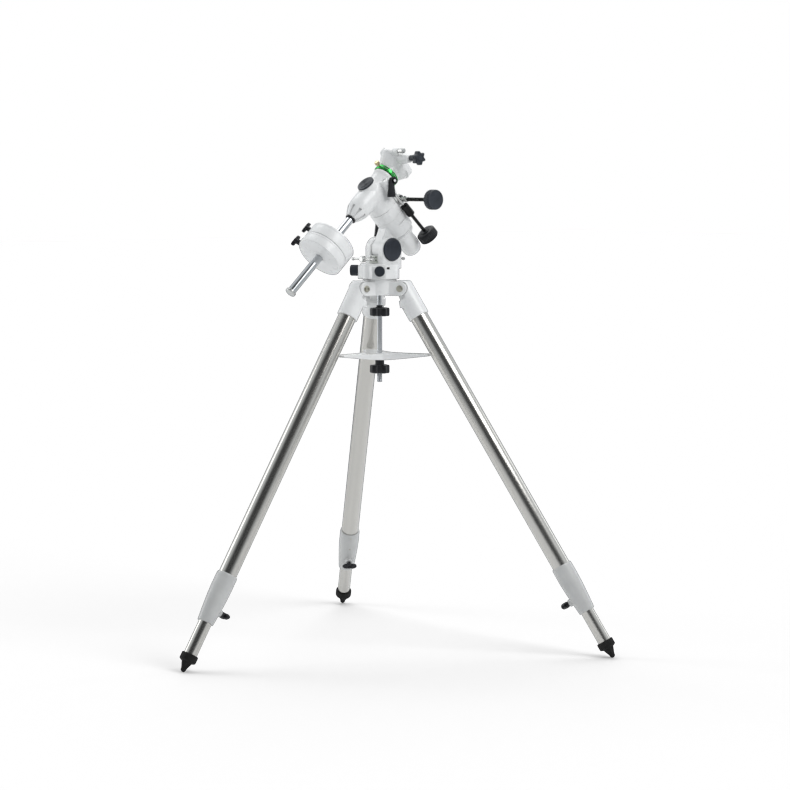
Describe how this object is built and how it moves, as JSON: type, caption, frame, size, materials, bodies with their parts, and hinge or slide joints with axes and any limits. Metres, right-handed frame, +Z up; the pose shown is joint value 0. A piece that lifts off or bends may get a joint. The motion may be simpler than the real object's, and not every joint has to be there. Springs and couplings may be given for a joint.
{
  "type": "equatorial telescope mount on tripod",
  "caption": "Tripod with telescoping steel legs and tray, carrying a German equatorial head with polar and declination axes, worm controls, dovetail saddle and a bar with round counterweights.",
  "frame": {"origin": "centre of the footprint's box, on the ground the feet stand on", "axes": "+Z up, -X towards north with the polar axis in the XZ plane, -Y the side of the control knobs"},
  "size_m": [0.9362, 1.0738, 1.2565],
  "materials": {
    "white_paint": "semi-gloss white enamel over cast aluminium with fine orange peel",
    "leg_tubes": "satin stainless tube with fine lengthwise grain",
    "collars": "satin light grey paint",
    "black_plastic": "moulded blue-black plastic, lightly textured",
    "altitude_caps": "smooth glossy blue-black",
    "steel": "turned bright steel",
    "chrome_bar": "hard-chromed ground bar",
    "brass": "turned brass",
    "green_circle": "green anodised ring with fine graduations",
    "rubber": "matt black moulded rubber"
  },
  "bodies": {
    "tripod_head": {"tripod_hub": "white_paint", "leg_hinge_bolt_1": "steel", "leg_hinge_bolt_2": "steel", "leg_hinge_bolt_3": "steel"},
    "leg_1": {"leg_casting_1": "white_paint", "upper_leg_tube_1": "leg_tubes", "leg_clamp_collar_1": "collars"},
    "lower_leg_1": {"lower_leg_tube_1": "leg_tubes", "leg_foot_1": "rubber"},
    "clamp_screw_1": {"leg_clamp_screw_1": "black_plastic"},
    "leg_2": {"leg_casting_2": "white_paint", "upper_leg_tube_2": "leg_tubes", "leg_clamp_collar_2": "collars"},
    "lower_leg_2": {"lower_leg_tube_2": "leg_tubes", "leg_foot_2": "rubber"},
    "clamp_screw_2": {"leg_clamp_screw_2": "black_plastic"},
    "leg_3": {"leg_casting_3": "white_paint", "upper_leg_tube_3": "leg_tubes", "leg_clamp_collar_3": "collars"},
    "lower_leg_3": {"lower_leg_tube_3": "leg_tubes", "leg_foot_3": "rubber"},
    "clamp_screw_3": {"leg_clamp_screw_3": "black_plastic"},
    "fixing_rod": {"centre_rod": "steel", "head_fixing_knob": "black_plastic"},
    "tray": {"accessory_tray": "white_paint"},
    "tray_nut": {"tray_knob": "black_plastic"},
    "azimuth": {"azimuth_base": "white_paint", "altitude_axle": "altitude_caps", "altitude_cap": "altitude_caps"},
    "azimuth_screw_west": {"azimuth_knob_west": "black_plastic"},
    "azimuth_screw_east": {"azimuth_knob_east": "black_plastic"},
    "latitude_screw_north": {"latitude_bolt_north": "steel"},
    "latitude_screw_south": {"latitude_bolt_south": "steel"},
    "ra_body": {"ra_housing": "white_paint"},
    "ra_clutch": {"ra_clutch_lever": "black_plastic"},
    "ra_worm": {"ra_worm_shaft": "steel", "ra_control_knob": "black_plastic"},
    "ra_circle": {"ra_setting_circle": "white_paint"},
    "scope_cap": {"polar_scope_cap": "white_paint"},
    "dec_body": {"ra_shaft": "steel", "ra_worm_wheel": "brass", "dec_housing": "white_paint", "counterweight_bar": "chrome_bar"},
    "front_cap": {"polar_front_cap": "black_plastic"},
    "dec_worm": {"dec_worm_shaft": "steel", "dec_control_knob": "black_plastic"},
    "dec_clutch": {"dec_clutch_lever": "black_plastic"},
    "dec_axis": {"dec_shaft": "steel", "dec_worm_wheel": "brass", "dovetail_saddle": "white_paint"},
    "dec_circle": {"dec_setting_circle": "green_circle"},
    "circle_screw": {"dec_circle_screw": "brass"},
    "saddle_knob": {"saddle_clamp_knob": "black_plastic"},
    "safety_screw": {"saddle_safety_screw": "steel"},
    "lock_ring": {"bar_lock_ring": "black_plastic"},
    "end_cap": {"bar_end_cap": "steel"},
    "weight_1": {"counterweight_1": "white_paint"},
    "weight_2": {"counterweight_2": "white_paint"},
    "weight_knob_1": {"weight_screw_1": "black_plastic"},
    "weight_knob_2": {"weight_screw_2": "black_plastic"}
  },
  "joints": [
    {"name": "leg_1_fold", "type": "hinge", "parent": "tripod_head", "child": "leg_1", "pos_m": [0.0863, 0, 0.901], "axis": [0, -1, 0], "range_deg": [0, 5]},
    {"name": "leg_1_extend", "type": "slide", "parent": "leg_1", "child": "lower_leg_1", "axis": [-0.5225, 0, -0.8526], "range_m": [0, 0.42]},
    {"name": "leg_1_clamp_turn", "type": "hinge", "parent": "leg_1", "child": "clamp_screw_1", "pos_m": [-0.34358, 0, 0.12296], "axis": [-0.8526, 0, 0.5225], "range_deg": [-720, 0]},
    {"name": "leg_2_fold", "type": "hinge", "parent": "tripod_head", "child": "leg_2", "pos_m": [0.18005, -0.05413, 0.901], "axis": [0.866, 0.5, 0], "range_deg": [0, 5]},
    {"name": "leg_2_extend", "type": "slide", "parent": "leg_2", "child": "lower_leg_2", "axis": [0.2612, -0.4525, -0.8526], "range_m": [0, 0.42]},
    {"name": "leg_2_clamp_turn", "type": "hinge", "parent": "leg_2", "child": "clamp_screw_2", "pos_m": [0.39498, -0.42641, 0.12296], "axis": [0.4263, -0.7384, 0.5225], "range_deg": [-720, 0]},
    {"name": "leg_3_fold", "type": "hinge", "parent": "tripod_head", "child": "leg_3", "pos_m": [0.18005, 0.05413, 0.901], "axis": [-0.866, 0.5, 0], "range_deg": [0, 5]},
    {"name": "leg_3_extend", "type": "slide", "parent": "leg_3", "child": "lower_leg_3", "axis": [0.2612, 0.4525, -0.8526], "range_m": [0, 0.42]},
    {"name": "leg_3_clamp_turn", "type": "hinge", "parent": "leg_3", "child": "clamp_screw_3", "pos_m": [0.39498, 0.42641, 0.12296], "axis": [0.4263, 0.7384, 0.5225], "range_deg": [-720, 0]},
    {"name": "head_fixing_turn", "type": "hinge", "parent": "tripod_head", "child": "fixing_rod", "pos_m": [0.1488, 0, 0.841], "axis": [0, 0, 1], "range_deg": [-1800, 0]},
    {"name": "tray_drop", "type": "slide", "parent": "tripod_head", "child": "tray", "axis": [0, 0, -1], "range_m": [0, 0.037]},
    {"name": "tray_nut_turn", "type": "hinge", "parent": "tray", "child": "tray_nut", "pos_m": [0.1488, 0, 0.7], "axis": [0, 0, 1], "range_deg": [-1800, 0]},
    {"name": "azimuth_turn", "type": "hinge", "parent": "tripod_head", "child": "azimuth", "pos_m": [0.1488, 0, 0.924], "axis": [0, 0, 1], "range_deg": [-10, 10]},
    {"name": "azimuth_knob_west_turn", "type": "hinge", "parent": "azimuth", "child": "azimuth_screw_west", "pos_m": [0.10809, -0.04938, 0.945], "axis": [-0.6361, -0.7716, 0], "range_deg": [-1080, 0]},
    {"name": "azimuth_knob_east_turn", "type": "hinge", "parent": "azimuth", "child": "azimuth_screw_east", "pos_m": [0.10809, 0.04938, 0.945], "axis": [-0.6361, 0.7716, 0], "range_deg": [-1080, 0]},
    {"name": "latitude_bolt_north_turn", "type": "hinge", "parent": "azimuth", "child": "latitude_screw_north", "pos_m": [0.0958, 0, 0.9745], "axis": [-1, 0, 0], "range_deg": [-1080, 0]},
    {"name": "latitude_bolt_south_turn", "type": "hinge", "parent": "azimuth", "child": "latitude_screw_south", "pos_m": [0.2018, 0, 0.9745], "axis": [1, 0, 0], "range_deg": [-1080, 0]},
    {"name": "altitude_tilt", "type": "hinge", "parent": "azimuth", "child": "ra_body", "pos_m": [0.1613, 0, 0.998], "axis": [0, 1, 0], "range_deg": [-22, 20]},
    {"name": "ra_turn", "type": "hinge", "parent": "ra_body", "child": "dec_body", "pos_m": [0.1248, 0, 1.14], "axis": [-0.682, 0, 0.7314], "range_deg": [-70, 0]},
    {"name": "ra_worm_turn", "type": "hinge", "parent": "ra_body", "child": "ra_worm", "pos_m": [0.1978, 0, 1.1233], "axis": [0, -1, 0], "range_deg": [-10080, 0]},
    {"name": "ra_clutch_swing", "type": "hinge", "parent": "ra_body", "child": "ra_clutch", "pos_m": [0.19027, 0.044, 1.06979], "axis": [0, 1, 0], "range_deg": [-45, 45]},
    {"name": "ra_circle_turn", "type": "hinge", "parent": "ra_body", "child": "ra_circle", "pos_m": [0.21823, 0, 1.03981], "axis": [-0.682, 0, 0.7314], "continuous": true},
    {"name": "scope_cap_pull", "type": "slide", "parent": "ra_body", "child": "scope_cap", "axis": [0.682, 0, -0.7314], "range_m": [0, 0.04]},
    {"name": "front_cap_pull", "type": "slide", "parent": "dec_body", "child": "front_cap", "axis": [-0.682, 0, 0.7314], "range_m": [0, 0.025]},
    {"name": "dec_turn", "type": "hinge", "parent": "dec_body", "child": "dec_axis", "pos_m": [0.1248, 0, 1.14], "axis": [0.7314, 0, 0.682], "continuous": true},
    {"name": "dec_worm_turn", "type": "hinge", "parent": "dec_body", "child": "dec_worm", "pos_m": [0.14564, -0.0349, 1.15944], "axis": [0.6998, -0.0558, -0.7121], "continuous": true},
    {"name": "dec_clutch_swing", "type": "hinge", "parent": "dec_body", "child": "dec_clutch", "pos_m": [0.15472, -0.049, 1.17023], "axis": [0, -1, 0], "range_deg": [-30, 45]},
    {"name": "dec_circle_turn", "type": "hinge", "parent": "dec_axis", "child": "dec_circle", "pos_m": [0.17014, 0, 1.18228], "axis": [0.7314, 0, 0.682], "continuous": true},
    {"name": "circle_screw_turn", "type": "hinge", "parent": "dec_circle", "child": "circle_screw", "pos_m": [0.14164, 0, 1.21314], "axis": [-0.682, 0, 0.7314], "range_deg": [-720, 0]},
    {"name": "saddle_knob_turn", "type": "hinge", "parent": "dec_axis", "child": "saddle_knob", "pos_m": [0.19502, -0.096, 1.22599], "axis": [0, -1, 0], "range_deg": [-1080, 0]},
    {"name": "safety_screw_turn", "type": "hinge", "parent": "dec_axis", "child": "safety_screw", "pos_m": [0.17938, -0.052, 1.24422], "axis": [0, -1, 0], "range_deg": [-1080, 0]},
    {"name": "lock_ring_turn", "type": "hinge", "parent": "dec_body", "child": "lock_ring", "pos_m": [0.05481, 0, 1.07473], "axis": [0.7314, 0, 0.682], "range_deg": [-720, 0]},
    {"name": "end_cap_turn", "type": "hinge", "parent": "dec_body", "child": "end_cap", "pos_m": [-0.13337, 0, 0.89926], "axis": [0.7314, 0, 0.682], "range_deg": [-1080, 0]},
    {"name": "weight_1_slide", "type": "slide", "parent": "dec_body", "child": "weight_1", "axis": [0.7314, 0, 0.682], "range_m": [0, 0.071]},
    {"name": "weight_2_slide", "type": "slide", "parent": "dec_body", "child": "weight_2", "axis": [0.7314, 0, 0.682], "range_m": [-0.118, 0]},
    {"name": "weight_knob_1_turn", "type": "hinge", "parent": "weight_1", "child": "weight_knob_1", "pos_m": [-0.03907, 0.05822, 1.05399], "axis": [-0.4384, 0.766, 0.4701], "range_deg": [-720, 0]},
    {"name": "weight_knob_2_turn", "type": "hinge", "parent": "weight_2", "child": "weight_knob_2", "pos_m": [-0.07234, 0.05822, 1.02296], "axis": [-0.4384, 0.766, 0.4701], "range_deg": [-720, 0]}
  ],
  "couplings": [
    {"joint": "leg_2_fold", "follows": "leg_1_fold", "ratio": 1},
    {"joint": "leg_3_fold", "follows": "leg_1_fold", "ratio": 1},
    {"joint": "tray_drop", "follows": "leg_1_fold", "m_per_rad": 0.41},
    {"joint": "ra_worm_turn", "follows": "ra_turn", "ratio": 144},
    {"joint": "dec_worm_turn", "follows": "dec_turn", "ratio": 144}
  ]
}
